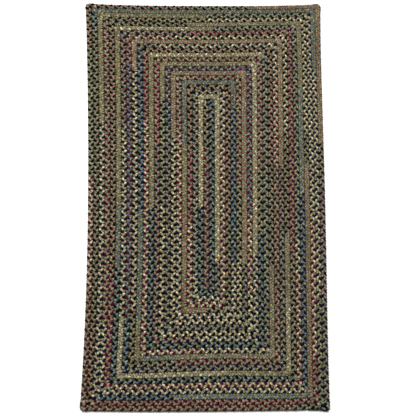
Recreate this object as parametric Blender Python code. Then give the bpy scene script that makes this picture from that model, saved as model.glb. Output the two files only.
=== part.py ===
"""A rectangular braided rug, about 27 by 48 inches.

One flat three-strand plait starts as a short straight length in the middle and is wound
outwards in a squared coil, clockwise seen from above. Each row lies beside the row before
it and is laced to it at mid-thickness, so both faces show ribs with a groove at every
lacing. The plait's end is drawn thin and tucked along the near edge at the right corner.
The rug lies flat and is a little uneven: the rows are closer together towards the far end,
the left edge bows in, and the far edge dishes.

Metres, +Z up, +Y along the rug's length. The origin is the middle of the underside.
"""

import math

import bmesh
import bpy
from mathutils import Vector

# The rug and its plait.
WIDTH = 0.686  # as wound, before it lies uneven
LENGTH = 1.219
ROUNDS = 22  # rows of plait on each side of the middle
ROW = WIDTH / (2 * ROUNDS)  # from one lacing to the next
THICKNESS = 0.011  # crown to crown
LACED_THICKNESS = 0.004  # what is left between the faces at a lacing
CORNER = 0.6 * ROW  # how far each row's corner is cut back on both sides

# The plait's drawn-out end, outside the nearest row at the right corner.
TAIL_WIDTH = 0.45 * ROW
TAIL_FULLNESS = 0.7  # its crown's share of a row's rise

LIFT_REACH = 6 * ROW  # how far in the rows make room for it

# How the rug lies: how far 25 places on the even coil are pushed out of true, right and
# away, in millimetres. They are on five lines from the left edge to the right one, and on
# five from the far edge, first here, to the near one.
PUSHED_RIGHT = (
    (-8.5, 6.5, 16.5, 14.5, 7.0),
    (4.0, 11.5, 17.5, 18.5, 5.5),
    (12.0, 16.0, 18.0, 17.0, 7.5),
    (13.0, 15.5, 17.5, 16.0, 6.5),
    (3.5, 3.5, 13.0, 14.0, 8.0),
)
PUSHED_AWAY = (
    (6.0, -1.0, -2.5, -2.0, 3.5),
    (27.0, 29.0, 25.5, 27.0, 21.0),
    (26.5, 28.5, 27.0, 21.5, 20.5),
    (12.5, 4.5, 11.0, 6.5, 12.0),
    (-3.0, -5.0, -4.5, -2.5, -1.5),
)

# A row's section, from the lacing on its inner side over the crown to the next lacing.
ACROSS, RISE = range(2)
SECTION = (
    (0.00, 0.0),
    (0.10, 0.6),
    (0.35, 1.0),
    (0.65, 1.0),
    (0.90, 0.6),
    (1.00, 0.0),
)

# The four sides of a round, in the order in which the plait is wound.
LEFT, FAR, RIGHT, NEAR = range(4)
HEADING = {LEFT: (0, 1), FAR: (1, 0), RIGHT: (0, -1), NEAR: (-1, 0)}
# Where along a side its rows have stations, as shares of the way from corner to corner.
# The near side's are the section's own, because the first row starts on one of them.
STATIONS = {
    LEFT: (1 / 3, 2 / 3),
    FAR: (1 / 2,),
    RIGHT: (1 / 3, 2 / 3),
    NEAR: tuple(point[ACROSS] for point in SECTION[1:-1]),
}

LAST = ROUNDS - 1
MIDDLE_FAR = LENGTH / 2 - ROUNDS * ROW  # the far end of the middle lacing
MIDDLE_NEAR = LAST * ROW - LENGTH / 2  # and its near end


def clear_scene():
    for obj in list(bpy.data.objects):
        bpy.data.objects.remove(obj, do_unlink=True)


def yarn_material():
    material = bpy.data.materials.new("plaited_yarn")
    material.use_nodes = True
    shader = material.node_tree.nodes["Principled BSDF"]
    shader.inputs["Base Color"].default_value = (0.135, 0.125, 0.09, 1.0)
    shader.inputs["Roughness"].default_value = 0.95
    shader.inputs["Metallic"].default_value = 0.0
    material.diffuse_color = (0.135, 0.125, 0.09, 1.0)
    return material


# ---- The even coil, flat and square, before it lies uneven ----


def corner(turn, across):
    """Where the line at this share of a row's width turns its corner, on the even coil."""
    done, side = divmod(turn, 4)
    out = (done + across) * ROW
    if side == LEFT:
        return Vector((-out, MIDDLE_NEAR - max(out - ROW, 0.0)))
    if side == FAR:
        return Vector((-out, MIDDLE_FAR + out))
    if side == RIGHT:
        return Vector((out, MIDDLE_FAR + out))
    if done == LAST:
        return Vector((out, MIDDLE_NEAR - LAST * ROW - across * TAIL_WIDTH))
    return Vector((out, MIDDLE_NEAR - out))


def cut_corner(turn, across):
    """The two ends of the cut corner: where the row leaves one side and meets the next."""
    back = CORNER * min(turn // 4 + across, 1.0)
    point = corner(turn, across)
    arriving = Vector(HEADING[(turn - 1) % 4])
    leaving = Vector(HEADING[turn % 4])
    return point - arriving * back, point + leaving * back


def along_side(turn, share, across):
    """A point part of the way along the side that follows this corner."""
    start = cut_corner(turn, across)[1]
    end = cut_corner(turn + 1, across)[0]
    return start.lerp(end, share)


def tail_tip():
    """The plait's last point: it ends at the first station of the nearest row's edge."""
    return along_side(4 * LAST - 1, STATIONS[NEAR][0], 1.0)


def coil_stations():
    """Every station of the plait: its points across the row, how full it is, and whether
    its outer side is the rug's edge instead of a lacing."""
    shares = [point[ACROSS] for point in SECTION]
    tail_turn = 4 * LAST + NEAR
    for turn in range(tail_turn + 1):
        arrives = [cut_corner(turn, across)[0] for across in shares]
        leaves = [cut_corner(turn, across)[1] for across in shares]
        past_tip = turn >= 4 * LAST
        yield arrives, 0.0 if turn == 0 else 1.0, past_tip
        if turn == tail_turn:
            yield leaves, TAIL_FULLNESS, True
            yield [tail_tip() for _ in shares], 0.0, True
            return
        yield leaves, 1.0, past_tip
        edge_row = turn >= tail_turn - 4
        for share in STATIONS[turn % 4]:
            points = [along_side(turn, share, across) for across in shares]
            yield points, 1.0, edge_row


# ---- How the rug lies ----


def tail_lift(x, y):
    """The rows beside the tail give way to it, so that the near edge stays straight."""
    tip, root = tail_tip().x, WIDTH / 2
    width = TAIL_WIDTH * min(max((x - tip) / (root - tip), 0.0), 1.0)
    return width * math.exp(-max(y + LENGTH / 2, 0.0) / LIFT_REACH)


def line_shares(at):
    """How much each of the five lines counts at this place, from -1 at one edge to 1."""
    lines = (-1.0, -0.5, 0.0, 0.5, 1.0)
    return [
        math.prod((at - other) / (line - other) for other in lines if other != line)
        for line in lines
    ]


def pushed(pushes, out, end):
    """How far this place is pushed, in metres."""
    total = 0.0
    for row, along in zip(reversed(pushes), line_shares(end)):
        for push, across in zip(row, line_shares(out)):
            total += push * along * across / 1000
    return total


def laid(point):
    """Where a point of the even coil comes to lie."""
    x, y = point.x, point.y + tail_lift(point.x, point.y)
    out, end = x / (WIDTH / 2), y / (LENGTH / 2)
    return x + pushed(PUSHED_RIGHT, out, end), y + pushed(PUSHED_AWAY, out, end)


# ---- The solid ----


def half_thickness(point, fullness, on_edge):
    """From mid-thickness to the face, at one point of the row's section."""
    if on_edge and point[ACROSS] == 1.0:
        return 0.0
    laced = LACED_THICKNESS / 2
    return laced + point[RISE] * fullness * (THICKNESS / 2 - laced)


def rug_mesh():
    """The row's section lofted along the coil, on both faces. Neighbouring rows share the
    points of their lacing, and the two faces meet in one line round the rug's edge."""
    shape = bmesh.new()
    known = {}

    def vertex(place, height):
        key = (round(place.x, 6), round(place.y, 6), round(height, 6))
        if key not in known:
            known[key] = shape.verts.new((*laid(place), height))
        return known[key]

    def face(corners):
        different = list(dict.fromkeys(corners))
        if len(different) > 2:
            shape.faces.new(different)

    def rings(places, fullness, on_edge):
        halves = [half_thickness(point, fullness, on_edge) for point in SECTION]
        upper = [vertex(p, THICKNESS / 2 + h) for p, h in zip(places, halves)]
        lower = [vertex(p, THICKNESS / 2 - h) for p, h in zip(places, halves)]
        return upper, lower

    previous = None
    for places, fullness, on_edge in coil_stations():
        if fullness == 0.0 and previous:
            upper = lower = [vertex(p, THICKNESS / 2) for p in places]
        else:
            upper, lower = rings(places, fullness, on_edge)
        if previous:
            last_upper, last_lower = previous
            for i in range(len(SECTION) - 1):
                face([last_upper[i], upper[i], upper[i + 1], last_upper[i + 1]])
                face([last_lower[i], last_lower[i + 1], lower[i + 1], lower[i]])
        previous = upper, lower

    mesh = bpy.data.meshes.new("braided_rug")
    shape.to_mesh(mesh)
    shape.free()
    return mesh


def centre_on_origin(mesh):
    """Moves the mesh so that the middle of its box's underside is the origin."""
    low = Vector(min(v.co[i] for v in mesh.vertices) for i in range(3))
    high = Vector(max(v.co[i] for v in mesh.vertices) for i in range(3))
    for v in mesh.vertices:
        v.co -= Vector(((low.x + high.x) / 2, (low.y + high.y) / 2, low.z))


def braided_rug(collection):
    mesh = rug_mesh()
    centre_on_origin(mesh)
    mesh.shade_smooth()
    mesh.set_sharp_from_angle(angle=math.radians(40))
    mesh.materials.append(yarn_material())
    rug = bpy.data.objects.new("braided_rug", mesh)
    collection.objects.link(rug)


clear_scene()
parts = bpy.data.collections.new("braided_rug")
bpy.context.scene.collection.children.link(parts)
braided_rug(parts)
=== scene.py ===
import math

import bpy
import numpy as np
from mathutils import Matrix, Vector


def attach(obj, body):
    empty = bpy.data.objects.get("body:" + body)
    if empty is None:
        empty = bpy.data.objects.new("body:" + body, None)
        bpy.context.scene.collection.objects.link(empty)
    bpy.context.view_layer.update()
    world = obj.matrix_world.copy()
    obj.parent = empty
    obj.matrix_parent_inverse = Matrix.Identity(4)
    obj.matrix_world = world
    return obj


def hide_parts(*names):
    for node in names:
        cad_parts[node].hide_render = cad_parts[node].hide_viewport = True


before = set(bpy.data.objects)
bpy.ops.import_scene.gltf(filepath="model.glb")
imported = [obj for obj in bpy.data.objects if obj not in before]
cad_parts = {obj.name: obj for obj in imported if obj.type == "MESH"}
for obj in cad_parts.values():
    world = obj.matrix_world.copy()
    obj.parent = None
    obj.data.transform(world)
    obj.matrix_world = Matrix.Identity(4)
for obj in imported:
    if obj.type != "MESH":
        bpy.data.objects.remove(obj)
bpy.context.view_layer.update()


# ---- The plait ----
# One flat plait of three plied wool-like yarns: a sage one all the way, a light one and a
# dark one. It starts as a short straight length in the middle and is wound outwards in a
# squared coil. Each time round is one piece here, so that no piece is too heavy.

WIDTH = 0.686  # of the coil, before the rug lies uneven
LENGTH = 1.219
ROUNDS = 22  # rows of plait on each side of the middle
ROW = WIDTH / (2 * ROUNDS)  # from one lacing to the next
LAST = ROUNDS - 1
MIDDLE_FAR = LENGTH / 2 - ROUNDS * ROW  # the far end of the middle lacing
MIDDLE_NEAR = LAST * ROW - LENGTH / 2  # and its near end
THICKNESS = 0.011
STITCH = 0.0247  # length of plait in which each strand comes back to its place
SWING = 0.0050  # from the row's middle line to a strand's own middle, at most
DIVE = 0.0029  # from mid-thickness to a strand's own middle, at most
STRAND_WIDE = 0.0037  # half the width of a strand
STRAND_HIGH = 0.0026  # and half its height
AROUND = 7  # sides of a strand
STEPS = 10  # rings of a strand in one stitch
TURN_IN = 0.5 * ROW  # how far from its corner a row starts to turn
FAN = 2.5 * ROW  # how far from there it is square to its run again
TAIL_WIDTH = 0.45 * ROW  # the plait's end is drawn thin past the last corner
TAIL_STOP = 0.14  # share of a row's width at which its strands end

LEFT, FAR, RIGHT, NEAR = range(4)  # the sides, in the order in which they are wound
HEADING = np.array([(0.0, 1.0), (1.0, 0.0), (0.0, -1.0), (-1.0, 0.0)])  # each side's way
TIP = np.array((0.252885, -LENGTH / 2))  # where the tail ends on the even coil


def corners(turn, across):
    """Where the line at this share of a row's width turns its corner, on the even coil."""
    done, side = turn // 4, turn % 4
    out = (done + across) * ROW
    x = np.where((side == LEFT) | (side == FAR), -out, out)
    y = np.select(
        [side == LEFT, side != NEAR, done == LAST],
        [
            MIDDLE_NEAR - np.maximum(out - ROW, 0.0),
            MIDDLE_FAR + out,
            MIDDLE_NEAR - LAST * ROW - across * TAIL_WIDTH,
        ],
        MIDDLE_NEAR - out,
    )
    return np.stack((x, y), axis=-1)


def turned(turn, across):
    """The line's last point before its corner, the corner, and its first point after it."""
    point = corners(turn, across)
    back = TURN_IN * np.minimum(turn // 4 + across, 1.0)
    back = np.where(turn == 0, 0.0, back)[..., None]
    return point - HEADING[(turn - 1) % 4] * back, point, point + HEADING[turn % 4] * back


def run_ends(turn, across):
    """Both ends of the straight run that follows a corner."""
    start = turned(turn, across)[2]
    end = turned(turn + 1, across)[0]
    return start, np.where((turn == 4 * LAST + NEAR)[..., None], TIP, end)


# How far along the plait, on its middle line, each corner and each straight run begins.
BEND = 1.6232  # a quarter turn's length, along a parabola, to how far it turns in
turns = np.arange(4 * LAST + NEAR + 1)
middles = np.full(len(turns), 0.5)
before, point = turned(turns, middles)[:2]
bend = BEND * np.linalg.norm(point - before, axis=1)
run_start, run_end = run_ends(turns, middles)
straight = np.linalg.norm(run_end - run_start, axis=1)
begins = np.concatenate(([0.0], np.cumsum(np.stack((bend, straight), axis=1).ravel())))


def on_coil(walk, across, square=True):
    """The point of the even coil at this distance along the plait and share across the row.
    The plait lies square to its run, and fans out to the corners at both ends. The lacing
    isn't square: it goes by shares of the way from corner to corner, so that rows that lie
    side by side have its points in common."""
    piece = np.clip(np.searchsorted(begins, walk, side="right") - 1, 0, len(begins) - 2)
    length = np.maximum(begins[piece + 1] - begins[piece], 1e-9)
    share = ((walk - begins[piece]) / length)[..., None]
    turn = piece // 2
    first, middle, last = turned(turn, across)
    curve = (1 - share) ** 2 * first + 2 * share * (1 - share) * middle + share**2 * last

    start, end = run_ends(turn, across)
    if square:
        gone = walk - begins[piece]
        fan = np.minimum(FAN, length / 2)
        lag = ((start - run_start[turn]) * HEADING[turn % 4]).sum(axis=-1)
        lead = ((end - run_end[turn]) * HEADING[turn % 4]).sum(axis=-1)
        ahead = gone - lag * (1 - np.clip(1 - gone / fan, 0.0, 1.0) ** 2)
        ahead = ahead + lead * np.clip(1 - (length - gone) / fan, 0.0, 1.0) ** 2
        share = (ahead / np.maximum(length - lag + lead, 1e-9))[..., None]
    return np.where((piece % 2 == 0)[..., None], curve, start + (end - start) * share)


# How the rug lies: how far 25 places on the even coil are pushed out of true, right and
# away, in millimetres. They are on five lines from the left edge to the right one, and on
# five from the far edge, first here, to the near one. The part's source has the same.
PUSHED_RIGHT = (
    (-8.5, 6.5, 16.5, 14.5, 7.0),
    (4.0, 11.5, 17.5, 18.5, 5.5),
    (12.0, 16.0, 18.0, 17.0, 7.5),
    (13.0, 15.5, 17.5, 16.0, 6.5),
    (3.5, 3.5, 13.0, 14.0, 8.0),
)
PUSHED_AWAY = (
    (6.0, -1.0, -2.5, -2.0, 3.5),
    (27.0, 29.0, 25.5, 27.0, 21.0),
    (26.5, 28.5, 27.0, 21.5, 20.5),
    (12.5, 4.5, 11.0, 6.5, 12.0),
    (-3.0, -5.0, -4.5, -2.5, -1.5),
)
LIFT_REACH = 6 * ROW  # how far in the rows make room for the tail
CENTRE = np.array((-0.000143, 0.000128))  # the middle of the laid rug's box


def line_shares(at):
    """How much each of the five lines counts at each place, from -1 at one edge to 1."""
    lines = (-1.0, -0.5, 0.0, 0.5, 1.0)
    return [
        math.prod((at - other) / (line - other) for other in lines if other != line)
        for line in lines
    ]


def pushed(pushes, out, end):
    """How far each place is pushed, in metres."""
    total = 0.0
    for row, along in zip(reversed(pushes), line_shares(end)):
        for push, across in zip(row, line_shares(out)):
            total = total + push * along * across / 1000
    return total


def laid(place):
    """Where a point of the even coil comes to lie, in the rug's own frame."""
    x, y = place[..., 0], place[..., 1]
    lift = TAIL_WIDTH * np.clip((x - TIP[0]) / (WIDTH / 2 - TIP[0]), 0.0, 1.0)
    y = y + lift * np.exp(-np.maximum(y + LENGTH / 2, 0.0) / LIFT_REACH)
    out, end = x / (WIDTH / 2), y / (LENGTH / 2)
    spot = x + pushed(PUSHED_RIGHT, out, end), y + pushed(PUSHED_AWAY, out, end)
    return np.stack(spot, axis=-1) - CENTRE


# The three strands, ring by ring, from the middle of the rug to the tail.
GAUGE = 0.2  # share of a row, at its middle, over which its width is measured
ring_walk = np.arange(0.0, begins[-1], STITCH / STEPS)
inside = laid(on_coil(ring_walk, np.full(len(ring_walk), 0.5 - GAUGE / 2)))
outside = laid(on_coil(ring_walk, np.full(len(ring_walk), 0.5 + GAUGE / 2)))
room = np.linalg.norm(outside - inside, axis=1) / (GAUGE * ROW)  # its width, 1 when even
kept = (room > TAIL_STOP) | (ring_walk < begins[-3])
ring_walk, room = ring_walk[kept], room[kept]

STRANDS = range(3)
DARK, SAGE, LIGHT = STRANDS
YARN_SIZE = (1.1, 0.98, 0.98)  # the dark yarn is the thickest
NARROWEST, WIDEST = 0.2, 1.35  # a strand's least and most width, 1 in an even row
TIGHT, THINNEST = 0.8, 0.3  # the room under which it is thinner too, and its least height
# A strand's swing varies a little: by what share, at how many radians a metre, and how
# many radians further on in the next strand.
WANDER = ((0.03, 31, 2), (0.02, 83, 1))
# No hand plaits evenly. This is how far the stitches have drifted from an even plait's, in
# hundredths of a stitch, at every DRIFT_STEP of the plait from the middle of the rug.
DRIFT_STEP = 0.2
DRIFT = (
    57, 84, 89, 32, 3, 20, 75, 106, 111, 92, 78, 93, 144, 203, 232, 222, 192, 202, 227, 277,
    320, 346, 340, 301, 296, 316, 324, 316, 328, 352, 340, 314, 312, 334, 351, 349, 350, 368,
    380, 405, 436, 455, 468, 481, 532, 572, 595, 593, 580, 563, 558, 572, 598, 620, 648, 671,
    686, 658, 632, 660, 679, 699, 666, 613, 643, 674, 691, 687, 663, 649, 660, 685, 705, 709,
    721, 758, 784, 800, 808, 846, 878, 899, 925, 942, 897, 862, 894, 913, 911, 922, 918, 886,
    842, 853, 887, 899, 900, 907, 934, 963, 998, 1006, 973, 936, 883, 879, 906, 919, 914, 908,
    892, 873, 858, 878, 879, 839, 807, 752, 750, 784, 809, 794, 745, 722, 686, 702, 738, 744,
    747, 770, 791, 814, 844, 888, 910, 858, 808, 786, 755, 771, 805, 812, 785, 761, 738, 694,
    710, 752, 774, 753, 744, 765, 796, 829, 872, 910, 899, 815, 782, 799, 827, 852, 886, 897,
    893, 917, 932, 900, 886, 907, 929, 943, 934, 934, 956, 987, 1006, 1041, 1076, 1071, 1074,
    1085, 1085, 1035, 1022, 1063, 1097, 1099, 1068, 1041, 1014, 985, 984, 1024, 1074, 1079,
    1076, 1087, 1098, 1057, 1035, 1057, 1091, 1096, 1104, 1134, 1132, 1138, 1166, 1191, 1232,
    1247, 1249, 1245, 1252, 1261, 1217, 1187, 1196, 1225, 1222, 1191, 1153, 1114, 1070, 1028,
    1028, 1063, 1089, 1082, 1072, 1073, 1074, 1087, 1091, 1080, 1089, 1107, 1103, 1107, 1121,
    1115, 1091, 1070, 1069, 1082, 1097, 1089, 1070, 1074, 1072, 1076, 1094, 1085, 1078, 1097,
    1105, 1111, 1124, 1124, 1115, 1124, 1143, 1160, 1179, 1188, 1172, 1149, 1126,
)
drift_at = DRIFT_STEP * np.arange(len(DRIFT))
unevenness = np.interp(ring_walk, drift_at, np.array(DRIFT) / 100)
strand_rings = []
for strand in STRANDS:
    phase = 2 * math.pi * (ring_walk / STITCH + unevenness + strand / 3)
    wander = sum(share * np.sin(ring_walk * pace + on * strand) for share, pace, on in WANDER)
    across = 0.5 + SWING / ROW * (1 + wander) * np.sin(phase)
    flat = laid(on_coil(ring_walk, across))
    full = np.clip(room / TIGHT, THINNEST, 1.0)
    height = THICKNESS / 2 + DIVE * full * np.sin(2 * phase)
    line = np.concatenate((flat, height[:, None]), axis=1)
    ahead = np.gradient(line, axis=0)
    ahead /= np.linalg.norm(ahead, axis=1)[:, None]
    aside = np.cross(ahead, (0.0, 0.0, 1.0))
    aside /= np.linalg.norm(aside, axis=1)[:, None]
    above = np.cross(aside, ahead)
    wide = STRAND_WIDE * np.clip(room, NARROWEST, WIDEST) * YARN_SIZE[strand]
    high = STRAND_HIGH * full
    rings = []
    for side in range(AROUND):
        angle = 2 * math.pi * (side + 0.5) / AROUND
        rings.append(
            line
            + aside * (wide * math.cos(angle))[:, None]
            + above * (high * math.sin(angle))[:, None]
        )
    strand_rings.append(np.stack(rings, axis=1))

# The yarns, as they look on the rug, from the 0 to 255 of a screen.
YARNS = {
    "K": (0, 2, 1),  # black
    "N": (1, 12, 38),  # navy
    "B": (70, 86, 97),  # blue
    "U": (63, 0, 31),  # burgundy
    "R": (125, 89, 76),  # rust
    "D": (112, 98, 80),  # dusty brown
    "T": (123, 115, 89),  # tan
    "O": (110, 99, 69),  # olive
    "C": (170, 154, 124),  # cream
    "S": (110, 113, 91),  # sage
}

# The dark and the light yarn beside the sage one, for each time round: up the left side,
# along the far side, down the right side and back along the near side. A number between
# two pairs is how far along the side, in hundredths, a new pair is joined in.
JOINED_IN = (
    ("UD 74 KD", "KB", "KB", "KB"),
    ("KB 43 TC", "TC", "TC 84 NT", "NC"),
    ("NC 12 NT", "NT", "NC 25 UC", "UC"),
    ("UC 36 UR 71 KR", "KR", "KR 60 KD", "KD 50 RO"),
    ("RO 45 TO 72 BO", "BO", "BO 13 NB 80 NC", "NC"),
    ("NC 38 UC 75 UT", "UT", "UT 48 KT 75 KC", "KC"),
    ("KC 72 RT", "RT", "RT 78 ND", "ND"),
    ("ND 75 NB 86 UB", "UB", "UB 59 UC 87 KC", "KC"),
    ("KC 45 KT 85 TO", "TO", "TC 72 NC", "NC 62 NR"),
    ("NR 67 UR", "UO", "UT 42 KT 64 KB", "KB"),
    ("KB 45 TO", "TC", "NT", "NC 54 UC"),
    ("UC 75 UR", "KR", "KR 40 KD 73 DT", "DT 75 BO"),
    ("OD 10 BO 44 NB", "NO 15 NC", "NC 12 UC 42 UT", "UD 72 KD"),
    ("KO 16 KC 90 TR", "RT", "RT 42 NR 60 ND", "ND"),
    ("NB 15 UB 92 UR", "UC 28 KC", "KC 32 KD 62 TD 80 TC", "TO 40 TC"),
    ("TC 16 KC 25 NC 70 NR", "NR 39 UR", "UR 68 KD", "KB"),
    ("KB 30 BO 46 TO", "TC 40 DT 54 NT", "NT 62 NC 72 UC", "UC"),
    ("UR 28 KR", "KD 41 DT", "DT 20 BT 50 NB", "NC"),
    ("NC 17 UT", "KD 25 KT 50 KC", "KC 34 KT 42 RT 55 RO", "BT 65 NB"),
    ("NC 68 TO", "TO 50 NT", "NC 56 UC 90 UR", "UR"),
    ("KR 20 KD 95 KB", "BO", "BO 18 NC 75 NT", "NO 12 UO"),
    ("UO 27 UC 54 KT 88 KR", "KR 42 KD 68 RO", "RO 38 KD 48 NR 75 ND", "NK"),
)


def linear(colour):
    """A screen's colour as light."""
    shares = [c / 255 for c in colour]
    return [s / 12.92 if s <= 0.04045 else ((s + 0.055) / 1.055) ** 2.4 for s in shares]


# The yarn of each strand at each ring.
between = (ring_walk[:-1] + ring_walk[1:]) / 2
side_begins = begins[:-1:2]
side_ends = begins[2::2]
ring_turn = np.searchsorted(side_begins, between, side="right") - 1
ring_share = (between - side_begins[ring_turn]) / (side_ends - side_begins)[ring_turn]
yarn_colour = np.zeros((len(STRANDS), len(between), 3))
yarn_colour[SAGE] = linear(YARNS["S"])
for turn in turns:
    words = JOINED_IN[turn // 4][turn % 4].split()
    from_share = 0.0
    for i in range(0, len(words), 2):
        to_share = int(words[i + 1]) / 100 if i + 1 < len(words) else math.inf
        here = (ring_turn == turn) & (ring_share >= from_share) & (ring_share < to_share)
        yarn_colour[DARK, here] = linear(YARNS[words[i][0]])
        yarn_colour[LIGHT, here] = linear(YARNS[words[i][1]])
        from_share = to_share


class Shade:
    """A socket of a material's nodes, so that shader sums are written as sums."""

    def __init__(self, tree, socket=None):
        self.tree, self.socket = tree, socket

    def node(self, kind, settings=None, output=0, **inputs):
        """A new node: its settings first, then the values or links of its sockets, which
        go by name, or by number after a _."""
        node = self.tree.nodes.new(kind)
        for name, value in (settings or {}).items():
            if name == "stops":
                ramp = node.color_ramp
                while len(ramp.elements) < len(value):
                    ramp.elements.new(1.0)
                for element, (place, colour) in zip(ramp.elements, value):
                    element.position, element.color = place, (*colour, 1.0)
            else:
                setattr(node, name, value)
        for name, value in inputs.items():
            socket = node.inputs[int(name[1:]) if name[0] == "_" else name]
            if isinstance(value, Shade):
                self.tree.links.new(value.socket, socket)
            else:
                socket.default_value = value
        return Shade(self.tree, node.outputs[output])

    def sum(self, operation, *values):
        """A Math node."""
        inputs = {f"_{i}": value for i, value in enumerate(values)}
        return self.node("ShaderNodeMath", {"operation": operation}, **inputs)

    def __add__(self, other):
        return self.sum("ADD", self, other)

    def __radd__(self, other):
        return self.sum("ADD", other, self)

    def __sub__(self, other):
        return self.sum("SUBTRACT", self, other)

    def __rsub__(self, other):
        return self.sum("SUBTRACT", other, self)

    def __mul__(self, other):
        return self.sum("MULTIPLY", self, other)

    def __rmul__(self, other):
        return self.sum("MULTIPLY", other, self)

    def mix(self, factor, one, other, blend="MIX"):
        """Two colours mixed, or one blended with the other."""
        return self.node(
            "ShaderNodeMix",
            {"data_type": "RGBA", "blend_type": blend},
            output=2,
            _0=factor,
            _6=one,
            _7=other,
        )


def yarn_material():
    """Soft matt yarn of twisted plies. The wool is blended before it is spun, so each ply
    shifts in shade and hue every few millimetres."""
    material = bpy.data.materials.new("plaited_yarn")
    material.use_nodes = True
    tree = material.node_tree
    shader = tree.nodes["Principled BSDF"]
    yarn = Shade(tree)
    colour = yarn.node("ShaderNodeAttribute", {"attribute_name": "yarn"})
    along = yarn.node("ShaderNodeUVMap", {"uv_map": "Along"})
    split = yarn.node("ShaderNodeSeparateXYZ", _0=along)
    metres = Shade(tree, split.socket.node.outputs[0])
    round_it = Shade(tree, split.socket.node.outputs[1])

    # The plies: ridges that wind round the strand.
    PLIES, TWIST = 6, 0.016  # how many, and the length of one turn of the twist
    APART = 7.3  # how far each ply's wool is from the next one's in the noise
    turn = yarn.sum("FRACT", round_it + metres * (1 / TWIST)) * PLIES
    ply = yarn.sum("ABSOLUTE", yarn.sum("SINE", turn * math.pi))
    own = yarn.sum("FLOOR", turn) * APART

    # Their blended wool: shade and hue along each ply.
    SHADES, HUES = 330.0, 260.0  # noise steps to a metre of strand
    DARK_WOOL, MEAN_WOOL, PALE_WOOL = (0.27, 0.25, 0.2), (0.95, 0.95, 0.91), (2.25, 2.3, 2.2)
    HUE_LEAST, HUE_SPREAD = (0.6, 0.74, 0.57), (0.8, 0.5, 0.9)
    reel = yarn.node("ShaderNodeCombineXYZ", _0=metres * SHADES, _1=own, _2=0.0)
    shade = yarn.node("ShaderNodeTexNoise", {"noise_dimensions": "2D"}, Vector=reel,
                      Scale=1.0, Detail=1.0, Roughness=0.6)
    stops = ((0.28, DARK_WOOL), (0.5, MEAN_WOOL), (0.72, PALE_WOOL))
    fleck = yarn.node("ShaderNodeValToRGB", {"stops": stops}, Fac=shade)
    reel = yarn.node("ShaderNodeCombineXYZ", _0=metres * HUES, _1=own, _2=5.0)
    hue = yarn.node("ShaderNodeTexNoise", {"noise_dimensions": "3D"}, output=1, Vector=reel,
                    Scale=1.0, Detail=0.0)
    tint = yarn.node("ShaderNodeVectorMath", {"operation": "MULTIPLY_ADD"},
                     _0=hue, _1=HUE_SPREAD, _2=HUE_LEAST)

    # Short fibres that lie along the strand.
    FIBRES, FIBRES_ROUND = 420.0, 40.0  # to a metre of strand, and round it
    stretched = yarn.node("ShaderNodeCombineXYZ",
                          _0=metres * FIBRES, _1=round_it * FIBRES_ROUND, _2=0.0)
    fibre = yarn.node("ShaderNodeTexNoise", {"noise_dimensions": "2D"}, Vector=stretched,
                      Scale=1.0, Detail=3.0, Roughness=0.6)

    # Painted shade: a strand is darker and browner at its sides and down between its
    # neighbours, where shade falls in the gaps.
    PROUD = 0.55  # the rise, from 0 at mid-thickness to 1 on a face, that is out of the gaps
    SIDES, CROWN = 0.1, 0.9  # how upright its surface is in the dark and in full light
    # Painted shade: the yarn's colour times this tint, with this share of dark brown mixed in,
    # where a strand is down in the gaps.
    PAINTED_SHADE_TINT = (0.3, 0.22, 0.14, 1.0)
    PAINTED_SHADE_BROWN, PAINTED_SHADE_BROWN_SHARE = (*linear((24, 19, 9)), 1.0), 0.35
    geometry = yarn.node("ShaderNodeNewGeometry")
    level = yarn.node("ShaderNodeSeparateXYZ", output=2, _0=geometry)
    rise = yarn.sum("ABSOLUTE", level - THICKNESS / 2) * (2 / THICKNESS)
    proud = yarn.node("ShaderNodeMapRange", {"interpolation_type": "SMOOTHSTEP"},
                      _0=rise, _1=0.0, _2=PROUD)
    upright = yarn.sum("ABSOLUTE", yarn.sum("SINE", round_it * (2 * math.pi)))
    # How much of the yarn's own colour shows, out of the painted shade: 1 on a strand's crown.
    lit_mask = yarn.node("ShaderNodeMapRange", {"interpolation_type": "SMOOTHSTEP"},
                      _0=upright, _1=SIDES, _2=CROWN) * proud
    # Painted shade down between the plies, and a little painted light on their ridges.
    ply_painted_shade = 0.6 + ply * 0.5  # from between the plies to their ridges
    ply_painted_shade_grey = yarn.node("ShaderNodeCombineColor", _0=ply_painted_shade, _1=ply_painted_shade, _2=ply_painted_shade)
    plied = yarn.mix(1.0, colour, ply_painted_shade_grey, "MULTIPLY")
    shaded_colour = yarn.mix(1.0, colour, PAINTED_SHADE_TINT, "MULTIPLY")
    shaded_colour = yarn.mix(PAINTED_SHADE_BROWN_SHARE, shaded_colour, PAINTED_SHADE_BROWN)
    flecked = yarn.mix(1.0, yarn.mix(lit_mask, shaded_colour, plied), fleck, "MULTIPLY")
    tinted = yarn.mix(1.0, flecked, tint, "MULTIPLY")
    tree.links.new(tinted.socket, shader.inputs["Base Color"])
    rough = 0.86 + fibre * 0.12  # matt, and a little more so on some fibres
    tree.links.new(rough.socket, shader.inputs["Roughness"])
    raised = ply * 0.7 + fibre * 0.3  # mostly the plies, a little of each fibre
    bump = yarn.node("ShaderNodeBump", Strength=0.6, Distance=0.0007, Height=raised)
    tree.links.new(bump.socket, shader.inputs["Normal"])
    shader.inputs["Specular IOR Level"].default_value = 0.1
    return material


plaited_yarn = yarn_material()
STRAND_LENGTH = 1.25  # metres of strand in a metre of plait
REEL_STARTS = (0.0, 0.37, 0.71)  # metres between the strands in the yarn's grain
STRIP_GAP = 0.05  # share of a strip that is left free on both sides
MARGIN = 0.002  # share of the texture that is left free at both ends of the strips


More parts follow.
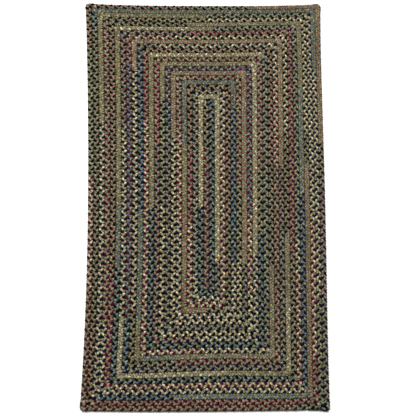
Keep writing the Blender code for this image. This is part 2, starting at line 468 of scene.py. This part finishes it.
def round_of_plait(name, first, last):
    """The three strands from one ring to another, closed at both ends, as one mesh."""
    count = last - first + 1
    places = np.concatenate([rings[first : last + 1].reshape(-1, 3) for rings in strand_rings])
    ring, side = np.meshgrid(np.arange(count - 1), np.arange(AROUND), indexing="ij")
    ring, side = ring.ravel(), side.ravel()
    beside = (side + 1) % AROUND
    quads = np.stack(
        (ring * AROUND + side, ring * AROUND + beside,
         (ring + 1) * AROUND + beside, (ring + 1) * AROUND + side), axis=1)
    per_strand = count * AROUND
    walls = np.concatenate([quads + strand * per_strand for strand in STRANDS])
    faces = [tuple(face) for face in walls.tolist()]
    for strand in STRANDS:
        start = strand * per_strand
        faces.append(tuple(start + AROUND - 1 - side for side in range(AROUND)))
        faces.append(tuple(start + (count - 1) * AROUND + side for side in range(AROUND)))

    mesh = bpy.data.meshes.new(name)
    mesh.from_pydata(places.tolist(), [], faces)
    colours = [yarn_colour[strand, first:last].repeat(AROUND, axis=0) for strand in STRANDS]
    for strand in STRANDS:
        colours.append(yarn_colour[strand, [first, last - 1]])
    colours = np.concatenate(colours)
    alpha = np.ones((len(colours), 1))
    dye = mesh.attributes.new("yarn", "FLOAT_COLOR", "FACE")
    dye.data.foreach_set("color", np.hstack((colours, alpha)).ravel())

    # Lengths along the strand and shares round it, for the yarn's grain.
    metres = ring_walk[first : last + 1] * STRAND_LENGTH
    corner_ring = np.stack((ring, ring, ring + 1, ring + 1), axis=1)
    corner_side = np.stack((side, side + 1, side + 1, side), axis=1)
    grain = np.stack((metres[corner_ring], (corner_side + 0.5) / AROUND), axis=-1).reshape(-1, 2)
    grains = [grain + (start, 0.0) for start in REEL_STARTS]
    cap_corners = 2 * len(STRANDS) * AROUND
    along = mesh.uv_layers.new(name="Along")
    along.data.foreach_set("uv", np.concatenate(grains + [np.zeros((cap_corners, 2))]).ravel())

    # Strips of strand, side by side, for the baked textures.
    girth = math.pi * (STRAND_WIDE + STRAND_HIGH)
    total = len(STRANDS) * (metres[-1] - metres[0])
    rows = math.ceil(math.sqrt(total / girth))
    per_row = math.ceil(len(STRANDS) * (count - 1) / rows)
    strips = []
    for strand in STRANDS:
        step = strand * (count - 1) + ring
        row, along_row = step // per_row, step % per_row
        u = (along_row[:, None] + np.array((0, 0, 1, 1))) / per_row
        v = (row[:, None] + STRIP_GAP + (1 - 2 * STRIP_GAP) * corner_side / AROUND) / rows
        strips.append(np.stack((MARGIN + (1 - 2 * MARGIN) * u, v), axis=-1).reshape(-1, 2))
    caps = np.full((cap_corners, 2), MARGIN / 2)
    baked = mesh.uv_layers.new(name="OFBake")
    baked.data.foreach_set("uv", np.concatenate(strips + [caps]).ravel())

    mesh.shade_smooth()
    mesh.materials.append(plaited_yarn)
    mesh.update()
    piece = bpy.data.objects.new(name, mesh)
    bpy.context.scene.collection.objects.link(piece)
    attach(piece, "root")
    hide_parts("braided_rug")
    return piece


round_starts = [int(np.searchsorted(ring_walk, begins[8 * done])) for done in range(ROUNDS)]
round_starts.append(len(ring_walk) - 1)
rounds = [
    round_of_plait(f"plait_round_{done + 1:02d}", round_starts[done], round_starts[done + 1])
    for done in range(ROUNDS)
]


# ---- The lacing, and the painted shade between the rows ----
# The rows are laced to each other with a strong dark thread that runs to and fro inside the
# plait, at mid-thickness. It is drawn here as one flat dark web, which is partly the thread
# and partly painted shade: it shows only as the dark at the bottom of the grooves between
# the rows. The thread is what holds the plait together as one flat rug.

LACING_HIGH = 0.0008  # half the web's thickness
EDGE_SHARE = 0.72  # how far across the outermost rows it reaches
CORNER_STRIPS, RUN_STRIPS = 3, 12  # of the web, at each corner and along each run
ONE_PLACE = 5  # the decimals of a metre to which two of its points are one
outermost = turns[-1] - 4  # the first run that has the rug's edge beside it

lacing_walk = []
for turn in turns[:-1]:
    corner_starts, run_starts, run_stops = begins[2 * turn : 2 * turn + 3]
    lacing_walk.extend(np.linspace(corner_starts, run_starts, CORNER_STRIPS, endpoint=False))
    lacing_walk.extend(np.linspace(run_starts, run_stops, RUN_STRIPS, endpoint=False))
lacing_walk = np.array(lacing_walk)
lacing_turn = np.searchsorted(begins[:-1:2], lacing_walk, side="right") - 1
inner_edge = laid(on_coil(lacing_walk, np.zeros(len(lacing_walk)), square=False))
outer_share = np.where(lacing_turn >= outermost, EDGE_SHARE, 1.0)
outer_edge = laid(on_coil(lacing_walk, outer_share, square=False))

lacing_points, point_numbers = [], {}


def lacing_point(place):
    """The number of the web's point at this place, which neighbouring rows share."""
    key = tuple(np.round(place, ONE_PLACE))
    if key not in point_numbers:
        point_numbers[key] = len(lacing_points)
        lacing_points.append(place)
    return point_numbers[key]


web = []
for i in range(len(lacing_walk) - 1):
    strip = [inner_edge[i], inner_edge[i + 1], outer_edge[i + 1], outer_edge[i]]
    numbers = list(dict.fromkeys(lacing_point(place) for place in strip))
    if len(numbers) > 2:
        web.append(numbers)
sides = dict.fromkeys(side for face in web for side in zip(face, face[1:] + face[:1]))
rim = [(a, b) for a, b in sides if (b, a) not in sides]
upper = len(lacing_points)  # the upper face's points have this much higher numbers
places = [(*place, THICKNESS / 2 - LACING_HIGH) for place in lacing_points]
places += [(*place, THICKNESS / 2 + LACING_HIGH) for place in lacing_points]
faces = web + [[number + upper for number in reversed(face)] for face in web]
faces += [[b, a, a + upper, b + upper] for a, b in rim]
lacing_mesh = bpy.data.meshes.new("lacing")
lacing_mesh.from_pydata(places, [], faces)
lacing_mesh.validate()
lacing_mesh.update()

# Painted shade: the web's dark browns stand for the thread and for the shade at the bottom of the
# grooves.
THREAD_AND_SHADE_DARK, THREAD_AND_SHADE_PALE = (30, 25, 15), (62, 53, 33)
lacing_and_shade_material = bpy.data.materials.new("lacing_thread_and_painted_shade")
lacing_and_shade_material.use_nodes = True
tree = lacing_and_shade_material.node_tree
shader = tree.nodes["Principled BSDF"]
thread = Shade(tree)
spot = thread.node("ShaderNodeTexCoord", output=3)
grain = thread.node("ShaderNodeTexNoise", Vector=spot, Scale=600.0, Detail=2.0)
thread_and_shade = thread.mix(grain, (*linear(THREAD_AND_SHADE_DARK), 1.0), (*linear(THREAD_AND_SHADE_PALE), 1.0))
tree.links.new(thread_and_shade.socket, shader.inputs["Base Color"])
shader.inputs["Roughness"].default_value = 0.95
shader.inputs["Specular IOR Level"].default_value = 0.1
lacing_mesh.materials.append(lacing_and_shade_material)

lacing = bpy.data.objects.new("lacing", lacing_mesh)
bpy.context.scene.collection.objects.link(lacing)
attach(lacing, "root")
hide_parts("braided_rug")


# ---- The floor, the light and the camera ----
# A plain white floor under soft studio light, seen from above and a little from the near
# end, as in the photograph.

FLOOR_SIZE = 40.0
floor_mesh = bpy.data.meshes.new("floor")
half = FLOOR_SIZE / 2
floor_mesh.from_pydata(
    [(-half, -half, 0.0), (half, -half, 0.0), (half, half, 0.0), (-half, half, 0.0)],
    [],
    [(0, 1, 2, 3)],
)
floor_material = bpy.data.materials.new("pale_floor")
floor_material.use_nodes = True
floor_shader = floor_material.node_tree.nodes["Principled BSDF"]
floor_shader.inputs["Base Color"].default_value = (0.9, 0.9, 0.9, 1.0)
floor_shader.inputs["Roughness"].default_value = 0.9
floor_shader.inputs["Specular IOR Level"].default_value = 0.0
floor_mesh.materials.append(floor_material)
floor = bpy.data.objects.new("floor", floor_mesh)
bpy.context.scene.collection.objects.link(floor)

world = bpy.data.worlds.new("studio")
world.use_nodes = True
world.node_tree.nodes["Background"].inputs["Color"].default_value = (1.0, 1.0, 1.0, 1.0)
world.node_tree.nodes["Background"].inputs["Strength"].default_value = 0.35
bpy.context.scene.world = world

softbox = bpy.data.lights.new("softbox", "AREA")
softbox.shape = "DISK"
softbox.size = 1.3
softbox.energy = 155.0
lamp = bpy.data.objects.new("softbox", softbox)
lamp.location = (-0.7, 0.9, 3.5)
lamp.rotation_euler = (Vector((0.0, 0.0, 0.0)) - lamp.location).to_track_quat("-Z", "Y").to_euler()
bpy.context.scene.collection.objects.link(lamp)

PHOTO = 416  # the photo's width and height in pixels
FOCAL = 1580  # in the photo's pixels
TILT = math.radians(17.36)  # from straight down, towards the near end
LOOKS_AT = Vector((0.0147, -0.0243, 0.0))
DISTANCE = 4.545  # from there to the camera
lens = bpy.data.cameras.new("camera")
lens.sensor_width = 36.0
lens.lens = 36.0 * FOCAL / PHOTO
lens.clip_end = 100.0
camera = bpy.data.objects.new("camera", lens)
camera.location = LOOKS_AT + DISTANCE * Vector((0.0, -math.sin(TILT), math.cos(TILT)))
camera.rotation_euler = (TILT, 0.0, 0.0)
bpy.context.scene.collection.objects.link(camera)
bpy.context.scene.camera = camera

bpy.context.scene.view_settings.view_transform = "Standard"
